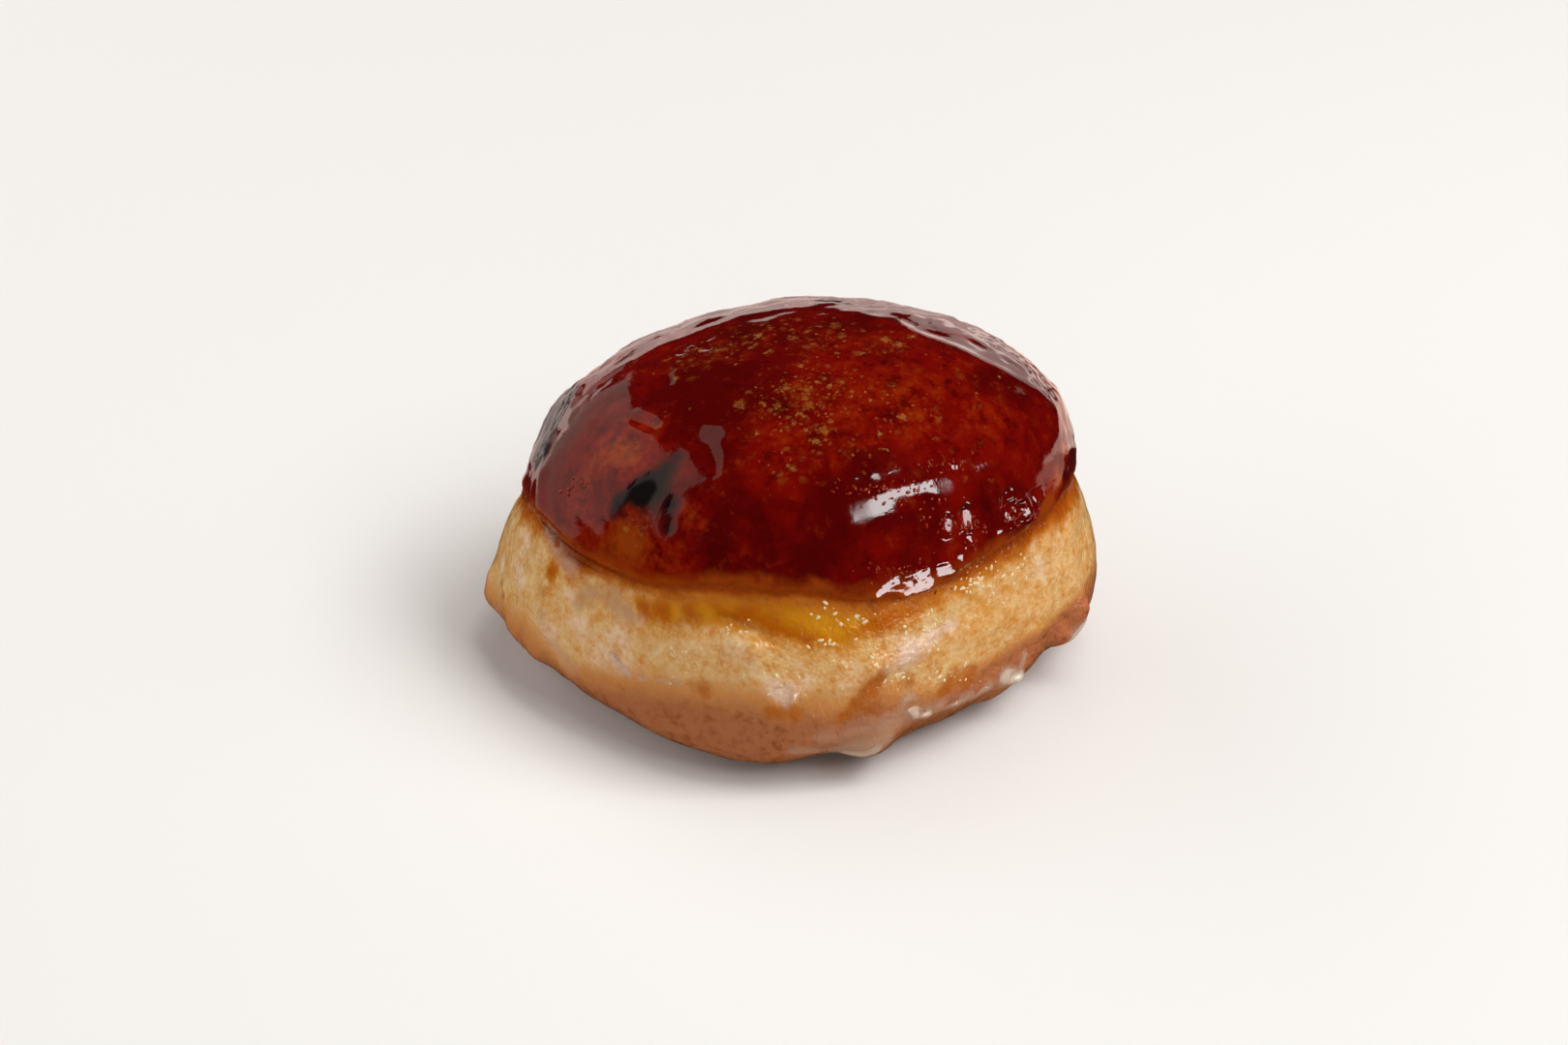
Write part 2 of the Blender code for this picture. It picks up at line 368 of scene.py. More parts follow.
# Grey film on the dough: a thin glaze film with a painted reflection of the pale card and table in
# it, on the left and at the foot.
FILM_AND_SHEEN_MARKS = (
    ((610, 612), 2.4, 0.8), ((635, 618), 2.4, 0.9), ((652, 632), 1.8, 0.7), ((596, 626), 1.8, 0.6),
    ((920, 748), 2.6, 0.7), ((900, 765), 2.8, 0.5), ((880, 770), 2.0, 0.4), ((935, 735), 2.0, 0.8),
    ((960, 730), 1.8, 0.6), ((1040, 700), 1.8, 0.5), ((765, 722), 1.8, 0.5),
    ((1078, 664), 1.8, 0.4),
)
ARCH = ((700, 650), (716, 640), (737, 632), (757, 638), (772, 649), (790, 657))
ARCH_WIDTH = 0.9
ARCH_DEPTH = 0.7
CREASE = ((863, 760), (872, 742), (888, 718), (904, 705))
CREASE_WIDTH = 0.8
CREASE_DEPTH = 0.4
SWELLS = (
    (((715, 668), (745, 660), (775, 668)), 2.6, 1.2), (((508, 597), (506, 612)), 2.2, 0.7),
    (((532, 646), (556, 672)), 2.4, 1.3), (((1096, 654), (1107, 640), (1114, 626)), 2.2, 1.9),
    (((545, 600), (556, 640)), 2.4, 0.5), (((640, 622), (680, 634)), 2.4, 0.35),
    (((905, 690), (950, 676), (985, 655)), 1.8, 0.35), (((1000, 660), (1060, 630)), 2.6, 0.3),
    (((590, 640), (610, 680)), 2.6, 0.35),
)
CRUST_MARKS = (
    ((1060, 680), 4.0, 0.9), ((1090, 655), 4.0, 0.9), ((1115, 625), 4.0, 1.0),
    ((1020, 705), 4.0, 0.7), ((980, 722), 3.5, 0.5), ((1122, 590), 3.5, 0.7),
)
CRUST_LUMPS = ((4.5, 0.30, 8), (2.8, 0.26, 6), (1.5, 0.12, 7))


def mark(piece, name, values):
    """Give each vertex a number that the piece's material can read."""
    attribute = piece.data.attributes.new(name, "FLOAT", "POINT")
    attribute.data.foreach_set("value", values.astype(np.float32))


def dough_form(points, normals):
    """How far the dough stands out from the skin: lumps, swellings, folds and the lumpy crust."""
    height_over_rim = rim_height(points)
    push = rim_swell(above_rim(points), normals) + BEAD_FILL * rim_beads(points)
    push += UNDER_EDGE * ease(height_over_rim, *UNDER_EDGE_RISE)
    push += UNDER_CARAMEL * ease(height_over_rim, *UNDER_CARAMEL_RISE)
    lumpy = ease(points[:, 2], *LUMPS_ABOVE_FLOOR) * (1.0 - ease(height_over_rim, *LUMPS_BELOW_RIM))
    for wavelength, depth, seed in DOUGH_LUMPS:
        push += lumpy * depth * ripples(points, wavelength, seed)
    for places, width, height in SWELLS:
        push += lumpy * height * np.exp(-(to_path(points, places) / width) ** 2)
    push -= lumpy * ARCH_DEPTH * np.exp(-(to_path(points, ARCH) / ARCH_WIDTH) ** 2)
    push -= lumpy * CREASE_DEPTH * np.exp(-(to_path(points, CREASE) / CREASE_WIDTH) ** 2)
    crust = patches(points, CRUST_MARKS)
    for wavelength, depth, seed in CRUST_LUMPS:
        push += crust * depth * ripples(points, wavelength, seed)
    return push


dough = copied(skin, "dough_skin")
points = points_of(dough)
normals = normals_of(dough)
push = dough_form(points, normals)

fry_points = np.array([on_skin(*place) for place in FRY_PLACES])
fry_turns = np.arctan2(fry_points[:, 1], fry_points[:, 0])
fry_order = np.argsort(fry_turns)
ends = (fry_turns.min() - FRY_FADE, fry_turns.max() + FRY_FADE)
fry_turns = np.concatenate((ends[:1], fry_turns[fry_order], ends[1:]))
fry_heights = np.concatenate(([HIDDEN_FRY_HEIGHT], fry_points[fry_order, 2], [HIDDEN_FRY_HEIGHT]))
turns = np.arctan2(points[:, 1], points[:, 0])
above_fry = points[:, 2] - np.interp(turns, fry_turns, fry_heights, period=2.0 * pi)
above_fry *= 1.0 + SHARP_CRUST * ease(turns, *SHARP_FROM) * (1.0 - ease(turns, *SHARP_UNTIL))
mark(dough, "above_rim", rim_height(points))
mark(dough, "above_fry", above_fry)
mark(dough, "honey", patches(points, HONEY_MARKS))
mark(dough, "yellow", patches(points, YELLOW_MARKS))
mark(dough, "tan", patches(points, TAN_MARKS))
mark(dough, "milky", patches(points, MILKY_MARKS))
mark(dough, "film", patches(points, FILM_AND_SHEEN_MARKS))
mark(dough, "crust", patches(points, CRUST_MARKS))
points += normals * push[:, None]
points[:, 2] = np.maximum(points[:, 2], 0.0)
set_points(dough, points)
dough.data.shade_smooth()


class Wire:
    """A socket of a material. Sums and products of wires add the Math nodes that work them out."""

    def __init__(self, socket):
        self.socket = socket

    def maths(self, operation, *values):
        tree = self.socket.id_data
        node = tree.nodes.new("ShaderNodeMath")
        node.operation = operation
        for slot, value in zip(node.inputs, values):
            if isinstance(value, Wire):
                tree.links.new(value.socket, slot)
            else:
                slot.default_value = value
        return Wire(node.outputs[0])

    def __add__(self, other):
        return self.maths("ADD", self, other)

    def __radd__(self, other):
        return self.maths("ADD", other, self)

    def __sub__(self, other):
        return self.maths("SUBTRACT", self, other)

    def __rsub__(self, other):
        return self.maths("SUBTRACT", other, self)

    def __mul__(self, other):
        return self.maths("MULTIPLY", self, other)

    def __rmul__(self, other):
        return self.maths("MULTIPLY", other, self)


class Finish:
    """A material, its nodes, and its main shader."""

    def __init__(self, name):
        self.material = bpy.data.materials.new(name)
        self.material.use_nodes = True
        self.tree = self.material.node_tree
        self.shader = self.tree.nodes["Principled BSDF"]
        self.here = self.node("TexCoord", output="Object")

    def node(self, kind, inputs=None, output=0, **settings):
        """Add a node: its settings first, then the values or wires of its sockets."""
        node = self.tree.nodes.new("ShaderNode" + kind)
        for name, value in settings.items():
            setattr(node, name, value)
        for name, value in (inputs or {}).items():
            self.set(node.inputs[name], value)
        return Wire(node.outputs[output])

    def set(self, socket, value):
        """Give a socket a wire, a colour or a number."""
        if isinstance(value, Wire):
            self.tree.links.new(value.socket, socket)
        elif hasattr(value, "__len__") and len(value) == 3 and socket.type == "RGBA":
            socket.default_value = (*value, 1.0)
        else:
            socket.default_value = value

    def noise(self, size, detail=3.0, roughness=0.55, output="Fac"):
        """Cloudy noise whose blotches are about size millimetres across."""
        inputs = {"Vector": self.here, "Scale": 1.0 / (size * MM), "Detail": detail,
                  "Roughness": roughness}
        return self.node("TexNoise", inputs, output=output)

    def between(self, value, start, end):
        """0 below start and 1 above end, with a soft step."""
        inputs = {"Value": value, "From Min": start, "From Max": end}
        return self.node("MapRange", inputs, interpolation_type="SMOOTHSTEP")

    def blend(self, first, second, mask):
        """Colour that goes from first to second as mask goes from 0 to 1."""
        inputs = {0: mask, 6: first, 7: second}
        return self.node("Mix", inputs, output=2, data_type="RGBA")

    def attribute(self, name):
        """The number that mark gave each vertex."""
        return self.node("Attribute", output="Fac", attribute_name=name)

    def bump(self, height, strength, distance):
        """Fine relief of a height, up to distance millimetres deep."""
        inputs = {"Height": height, "Strength": strength, "Distance": distance * MM}
        return self.node("Bump", inputs)

    def cover(self, second, mask):
        """Lay a second shader over the first where mask is 1."""
        first = Wire(self.shader.outputs[0])
        mixed = self.node("MixShader", {0: mask, 1: first, 2: second})
        self.tree.links.new(mixed.socket, self.tree.nodes["Material Output"].inputs["Surface"])

    def finish(self, piece, **values):
        """Set the main shader's sockets and put the material on a piece."""
        for name, value in values.items():
            self.set(self.shader.inputs[name.replace("_", " ")], value)
        piece.data.materials.clear()
        piece.data.materials.append(self.material)


CREAM = (0.76, 0.50, 0.225)
CREAM_WARM = (0.66, 0.28, 0.07)
CREAM_PALE = (0.86, 0.60, 0.29)
MILK = (0.86, 0.62, 0.42)
HONEY_GOLD = (0.46, 0.100, 0.0)
HONEY_YELLOW = (0.66, 0.26, 0.006)
HONEY_LIGHT = (0.64, 0.26, 0.030)
FILM_AND_SHEEN_GREY = (0.46, 0.23, 0.12)
STAIN = (0.62, 0.20, 0.02)
RUST = (0.34, 0.055, 0.0008)
RUST_PALE = (0.52, 0.16, 0.012)
TAN = (0.44, 0.11, 0.008)
TOASTED = (0.60, 0.24, 0.065)
BROWN = (0.42, 0.148, 0.056)
BROWN_DEEP = (0.28, 0.065, 0.015)
CRUST_RED = (0.50, 0.15, 0.055)
CRUST_DARK = (0.20, 0.035, 0.010)
ICED = (0.84, 0.62, 0.44)
WET_ROUGHNESS = 0.07
DRIER_BY = 0.16
CRUMB_RELIEF = 0.3

look = Finish("fried_dough")
over_rim = look.attribute("above_rim")
over_fry = look.attribute("above_fry")
wide = look.noise(12.0)
middling = look.noise(4.0, detail=4.0)
small = look.noise(1.3, detail=4.0, roughness=0.6)
fine = look.noise(0.45, detail=3.0, roughness=0.6)
crumb = look.noise(1.4, detail=5.0, roughness=0.7)
blotches = look.noise(2.2, detail=5.0, roughness=0.7)
colour = look.blend(CREAM, CREAM_WARM, look.between(wide * 0.4 + blotches * 0.6, 0.36, 0.72))
colour = look.blend(colour, CREAM_PALE, look.between(crumb * 0.6 + fine * 0.4, 0.42, 0.62) * 0.35)
stained = look.noise(1.1, detail=6.0, roughness=0.8) * 0.6 + middling * 0.4
colour = look.blend(colour, STAIN, look.between(stained, 0.50, 0.66) * 0.24)
cloudy = look.noise(3.5, detail=6.0, roughness=0.7)
milky = look.attribute("milky") + (cloudy - 0.5) * 1.6 + (small - 0.5) * 0.5
milky = look.between(milky, 0.05, 0.9)
colour = look.blend(colour, MILK, milky)
yellow = look.between(look.attribute("yellow") + (middling - 0.5) * 0.9, 0.1, 1.0)
colour = look.blend(colour, HONEY_YELLOW, yellow * 0.5)
tan = look.between(look.attribute("tan") + (small - 0.5) * 0.9 + (blotches - 0.5) * 0.5, 0.2, 0.95)
honey = look.attribute("honey") + (blotches - 0.5) * 0.9 + (stained - 0.5) * 0.8
colour = look.blend(colour, HONEY_LIGHT, look.between(honey, -0.25, 0.45))
gold = look.blend(HONEY_GOLD, HONEY_YELLOW, yellow)
colour = look.blend(colour, gold, look.between(honey, 0.05, 0.75))
rim = over_rim + (middling - 0.5) * 2.0 + (blotches - 0.5) * 3.0
colour = look.blend(colour, RUST_PALE, look.between(rim, -3.4, -0.9))
colour = look.blend(colour, RUST, look.between(rim, -2.2, 0.3))
brown = look.blend(BROWN, BROWN_DEEP, look.between(middling * 0.5 + small * 0.5, 0.48, 0.68))
edge = over_fry + (middling - 0.5) * 3.0 + (blotches - 0.5) * 2.6
colour = look.blend(colour, TOASTED, look.between(edge, 4.6, 0.2))
browned = look.between(edge, 1.6, -2.8)
colour = look.blend(colour, brown, browned)
colour = look.blend(colour, TAN, tan * 0.85)
crusty = look.between(look.attribute("crust") + (blotches - 0.5) * 1.6, 0.2, 1.0) * browned
colour = look.blend(colour, CRUST_RED, crusty * 0.75)
cracks = look.noise(2.4, detail=6.0, roughness=0.75)
cracks = look.between(cracks, 0.53, 0.66) * look.between(look.attribute("crust"), 0.1, 0.8)
colour = look.blend(colour, CRUST_DARK, cracks * browned * 0.8)
iced = look.between(look.attribute("milky") + (cloudy - 0.5) * 1.6 + (small - 0.5) * 0.8, 0.75, 1.5)
colour = look.blend(colour, ICED, iced * 0.7)
# Painted reflection: the grey film partly stands in for the pale card and table, which the wet
# dough doesn't mirror.
filmed_and_sheened = look.between(look.attribute("film") + (small - 0.5) * 0.5 + (cloudy - 0.5) * 0.6, 0.3, 0.8)
colour = look.blend(colour, FILM_AND_SHEEN_GREY, filmed_and_sheened * 0.6)
wet = look.noise(0.8, detail=1.5)
relief = small * 0.4 + fine * 0.3 + wet * 1.2
surface = look.bump(relief, 0.9, CRUMB_RELIEF)
look.finish(dough, Base_Color=colour, Normal=surface,
            Roughness=look.between(small, 0.3, 0.7) * DRIER_BY + WET_ROUGHNESS,
            Specular_IOR_Level=0.5, Subsurface_Weight=0.15, Subsurface_Scale=0.002)
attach(dough, "root")
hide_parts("dough")

# Caramel
# Burnt caramel poured over the dome and set hard: deep red where thick, orange brown where thin,
# with black burnt spots and golden specks. It clings to the dough and feathers out at its rim. Its
# shiny places are facets that are laid to mirror a light.

CARAMEL_PROUD = 0.18
CARAMEL_FILM = 0.04
CARAMEL_BURIED = -0.3
CARAMEL_RISE = (-3.2, 2.6)
RIM_SKIRT = -1.95
CARAMEL_WALL = 0.9
CARAMEL_WAVES = ((15.0, 0.10, 11), (7.0, 0.07, 12), (3.2, 0.030, 13))
WAVES_RISE = (0.0, 5.0)
# Orange brown where the caramel is thin. The marks at (1098, 465) and (1092, 495) are a painted
# reflection: they lighten the right rim as a pale reflected band would.
THIN_AND_RIM_SHEEN_MARKS = (
    ((1080, 522), 2.6, 1.2), ((1066, 545), 2.6, 1.1), ((1030, 562), 2.6, 0.9),
    ((1098, 465), 2.0, 0.9), ((715, 532), 3.0, 0.7), ((1092, 495), 2.2, 1.0),
    ((720, 400), 5.0, -0.5), ((750, 430), 5.0, -0.3), ((830, 570), 7.0, -0.3),
    ((650, 560), 6.5, 1.0), ((615, 585), 4.5, 0.7), ((700, 585), 4.0, 0.5), ((660, 455), 5.5, 0.45),
    ((800, 470), 4.5, 0.5), ((930, 400), 9.0, 0.55), ((1020, 430), 7.0, 0.4),
    ((870, 440), 6.0, 0.35), ((860, 370), 5.0, 0.35), ((955, 450), 5.0, 0.3),
    ((1000, 570), 3.5, 0.4), ((622, 465), 4.5, 0.55), ((652, 474), 3.6, 0.4),
    ((602, 500), 4.0, 0.5), ((600, 535), 3.5, 0.4),
)
BURNT_MARKS = (
    ((674, 503), 2.8, 1.4), ((658, 508), 2.0, 0.9), ((641, 516), 1.8, 0.8), ((634, 530), 1.6, 0.6),
    ((692, 482), 2.0, 0.7), ((695, 520), 1.9, 0.8), ((691, 545), 2.0, 0.8), ((704, 470), 1.5, 0.5),
    ((668, 532), 2.6, 0.4), ((712, 500), 1.8, 0.35), ((563, 445), 4.0, 1.3), ((575, 422), 3.4, 1.2),
    ((588, 406), 2.2, 0.9), ((560, 472), 3.0, 1.0), ((585, 455), 3.0, 0.5), ((600, 470), 2.6, 0.3),
    ((862, 312), 2.4, 1.1), ((847, 312), 1.8, 0.8), ((998, 524), 1.2, 0.7), ((880, 316), 2.0, 0.5),
    ((602, 440), 2.0, 0.25),
)
SPECK_MARKS = (
    ((845, 350), 5.0, 0.8), ((840, 400), 5.0, 1.0), ((845, 440), 4.0, 0.7), ((770, 350), 5.5, 0.6),
    ((715, 370), 5.0, 0.55), ((790, 420), 4.5, 0.55), ((920, 360), 5.0, 0.55),
    ((930, 420), 5.0, 0.5), ((800, 480), 4.5, 0.4), ((1000, 470), 5.0, 0.25),
    ((900, 470), 5.0, 0.3), ((655, 540), 3.5, 0.45), ((1020, 390), 6.0, 0.25),
    ((690, 430), 4.0, 0.25),
)
STRIP_TURN = 31.0
STRIP_TILT = 35.0
LOW_TURN = 28.0
LOW_TILT = -17.0
LOW_STRIP_GLINTS = (
    (((936, 605), (956, 597)), 1.2), (((903, 609), (913, 603), (926, 600)), 0.6),
    (((968, 588), (980, 586)), 0.7), (((944, 616), (950, 614)), 0.5),
    (((962, 572), (974, 568)), 0.4), (((988, 577), (992, 572)), 0.5),
    (((1004, 566), (1008, 562)), 0.4),
)
STRIP_GLINTS = (
    (((1040, 541), (1040, 513)), 0.7), (((1050, 525), (1060, 533)), 0.8),
    (((1049, 517), (1055, 512)), 0.4), (((1067, 512), (1066, 528)), 0.5),
    (((1045, 522), (1049, 530)), 0.5), (((1072, 508), (1074, 512)), 0.35),
    (((979, 537), (979, 548)), 0.6), (((998, 530), (1000, 543)), 0.75),
    (((999, 552), (1002, 560)), 0.45), (((884, 494), (886, 497)), 0.45),
    (((902, 490), (907, 496)), 0.55), (((917, 489), (930, 486)), 0.45),
    (((984, 485), (988, 481)), 0.4), (((849, 632), (852, 632)), 0.4),
    (((658, 604), (661, 604)), 0.4), (((750, 610), (753, 610)), 0.4),
)
CARD_TURN = 203.0
CARD_TILT = 17.0
CARD_RISE = 18.0
CARD_GLINTS = (
    (((728, 449), (745, 450)), 1.3), (((739, 462), (743, 470)), 1.0),
    (((742, 480), (744, 492)), 0.6), (((662, 430), (676, 436)), 1.0),
    (((690, 396), (696, 390), (702, 387)), 0.5), (((722, 399), (729, 394)), 0.4),
    (((704, 364), (714, 362)), 0.45), (((731, 359), (736, 355)), 0.5),
    (((771, 380), (776, 377)), 0.45),
)
RINGS = ((((972, 579),), 1.3, 0.22), (((1046, 521),), 0.8, 0.16), (((1061, 530),), 0.7, 0.14))
RING_WIDTH = 0.4
FACET_FADE = 1.0
FACET_LIMIT = 0.6
FACET_STEEPEST = 0.3
FROST_MARKS = (
    ((979, 543), 1.3, 1.0), ((998, 536), 1.5, 0.9), ((890, 530), 2.2, 0.9), ((905, 493), 1.4, 0.8),
    ((925, 487), 1.0, 0.8), ((978, 505), 1.8, 0.9), ((885, 494), 1.0, 0.8), ((1098, 482), 1.6, 0.8),
    ((930, 515), 4.0, 0.35),
)
BACK_FOLD = (
    (612, 400), (650, 376), (690, 357), (730, 341), (770, 328), (810, 320), (850, 320), (885, 325),
    (916, 334), (954, 349), (985, 359), (1010, 374), (1046, 391), (1077, 407), (1088, 425),
    (1092, 445),
)
FOLD_WIDTH = 1.1
FOLD_HEIGHT = 0.18
BACK_DENTS = (
    ((925, 327), (945, 337)), ((950, 342), (972, 348)), ((1000, 352), (1016, 361)),
    ((1036, 372), (1050, 380)), ((1068, 396), (1080, 408)),
)
DENT_WIDTH = 0.6
DENT_DEPTH = 0.16
BACK_FACING = (0.58, 0.2)
BACK_WAVES = ((6.5, 0.22, 33), (2.2, 0.132, 34))
CRINKLE_MARKS = (
    ((940, 604), 3.0, 0.9), ((1052, 528), 3.0, 0.5), ((900, 500), 3.0, 0.3),
    ((990, 345), 4.0, 0.35), ((1085, 400), 4.0, 0.35), ((985, 585), 2.4, 0.5),
    ((590, 500), 2.5, 0.5), ((655, 375), 4.0, 0.35), ((1005, 562), 2.5, 0.3),
    ((632, 380), 3.0, 0.5), ((700, 450), 4.0, 0.25),
)
CRINKLE = (1.9, 0.085, 32)
BEAD_BODY = 2.5
MATT_MARKS = (
    ((564, 470), 2.4, 0.5), ((645, 556), 4.6, 1.0), ((670, 575), 4.6, 1.0), ((620, 580), 3.6, 0.9),
    ((705, 590), 3.6, 0.8), ((655, 530), 3.0, 0.8), ((600, 590), 3.0, 0.6), ((670, 504), 2.0, 0.9),
    ((656, 510), 1.4, 0.5), ((572, 448), 3.6, 0.62), ((862, 312), 2.0, 1.0), ((846, 312), 1.5, 0.8),
    ((877, 315), 1.3, 0.6),
)
BURNT_RISE = (0.3, 1.2)
BURNT_DEPTH = 0.21
BURNT_WAVES = (2.4, 0.042, 31)

caramel = copied(skin, "burnt_caramel")
points = points_of(caramel)
normals = normals_of(caramel)
height_over_rim = rim_height(points)
beads = rim_beads(points)
push = CARAMEL_BURIED + (CARAMEL_PROUD - CARAMEL_BURIED) * ease(height_over_rim, *CARAMEL_RISE)
push += rim_swell(above_rim(points), normals) + beads
for places, radius, height in RINGS:
    push += height * np.exp(-((to_path(points, places) - radius) / RING_WIDTH) ** 2)
for wavelength, depth, seed in CARAMEL_WAVES:
    push += ease(height_over_rim, *WAVES_RISE) * depth * ripples(points, wavelength, seed)
push += FOLD_HEIGHT * np.exp(-(to_path(points, BACK_FOLD) / FOLD_WIDTH) ** 2)
for places in BACK_DENTS:
    push -= DENT_DEPTH * np.exp(-(to_path(points, places) / DENT_WIDTH) ** 2)
turned_away = ease(normals @ np.array(eye_back), *BACK_FACING)
for wavelength, depth, seed in BACK_WAVES:
    push += turned_away * depth * ripples(points, wavelength, seed)
push = np.maximum(push, dough_form(points, normals) + CARAMEL_FILM)

toward_eye = Vector((eye_back.x, eye_back.y, 0.0)).normalized()


def way_to(turn, tilt):
    """Direction turned so many degrees from the eye's right toward the eye, and tilted up."""
    flat = eye_right * cos(radians(turn)) + toward_eye * sin(radians(turn))
    return flat * cos(radians(tilt)) + Vector((0.0, 0.0, sin(radians(tilt))))


def facet(push, places, radius, way):
    """Lay a small patch of the caramel on the plane that mirrors a far light into the eye."""
    share = 1.0 - ease(to_path(points, places), radius, (1.0 + FACET_FADE) * radius)
    near = points + normals * push[:, None]
    centre = share @ near / share.sum()
    half = np.array((way - sight_line(*np.mean(places, axis=0))).normalized())
    drop = ((near - centre) @ half) / np.maximum(normals @ half, FACET_STEEPEST)
    return push - share * np.clip(drop, -FACET_LIMIT, FACET_LIMIT)


for places, radius in CARD_GLINTS:
    push = facet(push, places, radius, way_to(CARD_TURN, CARD_TILT + CARD_RISE))
for places, radius in LOW_STRIP_GLINTS:
    push = facet(push, places, radius, way_to(LOW_TURN, LOW_TILT))
for places, radius in STRIP_GLINTS:
    push = facet(push, places, radius, way_to(STRIP_TURN, STRIP_TILT))
wavelength, depth, seed = CRINKLE
push += depth * patches(points, CRINKLE_MARKS) * ripples(points, wavelength, seed)
burnt = patches(points, BURNT_MARKS)
wavelength, depth, seed = BURNT_WAVES
push -= ease(burnt, *BURNT_RISE) * (BURNT_DEPTH + depth * ripples(points, wavelength, seed))
mark(caramel, "above_rim", height_over_rim)
mark(caramel, "body", height_over_rim + BEAD_BODY * beads)
mark(caramel, "thin_and_rim_sheen", patches(points, THIN_AND_RIM_SHEEN_MARKS))
mark(caramel, "burnt", burnt)
mark(caramel, "frost", patches(points, FROST_MARKS))
mark(caramel, "matt", patches(points, MATT_MARKS))
mark(caramel, "specks", patches(points, SPECK_MARKS))
set_points(caramel, points + normals * push[:, None])


def trim(piece, unwanted):
    """Delete the vertices of a piece that a row of truth values picks out."""
    select_only(piece)
    bpy.ops.object.mode_set(mode="EDIT")
    bpy.ops.mesh.select_mode(type="VERT")
    bpy.ops.mesh.select_all(action="DESELECT")
    bpy.ops.object.mode_set(mode="OBJECT")
    piece.data.vertices.foreach_set("select", unwanted)
    bpy.ops.object.mode_set(mode="EDIT")
    bpy.ops.mesh.delete(type="VERT")
    bpy.ops.object.mode_set(mode="OBJECT")


trim(caramel, height_over_rim < RIM_SKIRT)
apply_modifier(caramel, "SOLIDIFY", thickness=CARAMEL_WALL * MM, offset=-1.0)
caramel.data.shade_smooth()

DEEP_RED = (0.070, 0.0006, 0.0004)
RED = (0.15, 0.0018, 0.0006)
RED_ORANGE = (0.20, 0.0075, 0.0008)
RUSSET = (0.24, 0.022, 0.0015)
DARK_RED = (0.045, 0.0004, 0.0003)
ORANGE_BROWN = (0.26, 0.038, 0.003)
AMBER_EDGE = (0.34, 0.055, 0.0008)
CHAR = (0.004, 0.0025, 0.003)
GOLD = (0.26, 0.065, 0.006)
GOLD_PALE = (0.36, 0.15, 0.035)
CARAMEL_ROUGHNESS = 0.05
FROSTED_BY = 0.16
DULL_ROUGHNESS = 0.5
CARAMEL_RELIEF = 0.12
SPECK_SIZES = ((0.9, 0.50), (1.7, 0.50), (2.8, 0.46))

look = Finish("burnt_caramel")
over_rim = look.attribute("above_rim")
thin_and_rim_sheen = look.attribute("thin_and_rim_sheen")
wide = look.noise(18.0, detail=2.0)
middling = look.noise(5.0, detail=5.0, roughness=0.65)
small = look.noise(1.6, detail=4.0, roughness=0.65)
reddened = look.between(wide * 0.5 + middling * 0.5 + thin_and_rim_sheen * 0.25, 0.42, 0.62)
colour = look.blend(DEEP_RED, RED, reddened)
mottled = look.between(thin_and_rim_sheen * 0.55 + (middling - 0.5) * 1.3 + (small - 0.5) * 0.7, 0.12, 0.62)
colour = look.blend(colour, RED_ORANGE, mottled)
veins = look.noise(3.2, detail=7.0, roughness=0.75)
colour = look.blend(colour, RUSSET, look.between(veins + thin_and_rim_sheen * 0.10, 0.54, 0.74) * 0.6)
colour = look.blend(colour, DARK_RED, look.between(veins - thin_and_rim_sheen * 0.06, 0.47, 0.32) * 0.8)
# Orange brown where the caramel is thin, and a painted reflection at the right rim.
colour = look.blend(colour, ORANGE_BROWN, look.between(thin_and_rim_sheen + (small - 0.5) * 0.5, 0.55, 1.05))
edge = over_rim + (middling - 0.5) * 5.0 + (small - 0.5) * 2.0
colour = look.blend(ORANGE_BROWN, colour, look.between(edge, 1.0, 4.0))
colour = look.blend(AMBER_EDGE, colour, look.between(edge, -0.8, 2.4))
specks = look.attribute("specks")
dust = look.noise(0.7, detail=5.0, roughness=0.75)
shift = look.node("VectorMath", {0: look.noise(1.1, detail=5.0, output="Color"), "Scale": 1.3 * MM},
                  operation="SCALE")
bent = look.node("VectorMath", {0: look.here, 1: shift}, operation="ADD")
for gap, radius in SPECK_SIZES:
    cells = {"Vector": bent, "Scale": 1.0 / (gap * MM), "Randomness": 1.0}
    cell_distance = look.node("TexVoronoi", cells, output="Distance")
    cell_colour = look.node("TexVoronoi", cells, output="Color")
    draw = look.node("SeparateColor", {"Color": cell_colour}, output="Red")
    tone = look.node("SeparateColor", {"Color": cell_colour}, output="Green")
    chance = look.between(specks - draw, 0.0, 0.1)
    ragged = cell_distance + (dust - 0.5) * 1.2 + tone * 0.15
    speck = look.between(ragged, radius, radius * 0.3) * chance
    colour = look.blend(colour, look.blend(GOLD, GOLD_PALE, tone), speck * (tone * 0.55 + 0.2))
dusted = look.between(dust + (middling - 0.5) * 0.6, 0.52, 0.70) * look.between(specks, 0.1, 0.9)
colour = look.blend(colour, GOLD, dusted * 0.5)
burnt = look.attribute("burnt") + (small - 0.5) * 1.0 + (middling - 0.5) * 0.6
colour = look.blend(colour, CHAR, look.between(burnt, 0.2, 1.0))
fine = look.noise(0.6, detail=2.0)
relief = small * 0.4 + fine * 0.25 + speck * 0.2
surface = look.bump(relief, 0.35, CARAMEL_RELIEF)
shown = look.attribute("body") + (middling - 0.5) * 1.6 + (small - 0.5) * 1.6
shown = look.between(shown, -0.5, 2.0)
dull = look.node("BsdfPrincipled", {"Base Color": colour, "Roughness": DULL_ROUGHNESS,
                                    "Specular IOR Level": 0.0, "Normal": surface, "Alpha": shown})
matt = look.between(look.attribute("matt") + (small - 0.5) * 0.5, 0.4, 0.8)
frost = look.between(look.attribute("frost") + (small - 0.5) * 0.8, 0.3, 1.0)
look.finish(caramel, Base_Color=colour, Normal=surface, Alpha=shown,
            Roughness=frost * FROSTED_BY + CARAMEL_ROUGHNESS)
look.cover(dull, matt * 0.9)
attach(caramel, "root")
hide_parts("caramel_top")

# Sugar glaze
# Thin milky sugar glaze that ran down the sides and set as ridges, drops and a skirt at the foot.
# It's one film that clings to the dough: a copy of the skin that is cut round the runs.

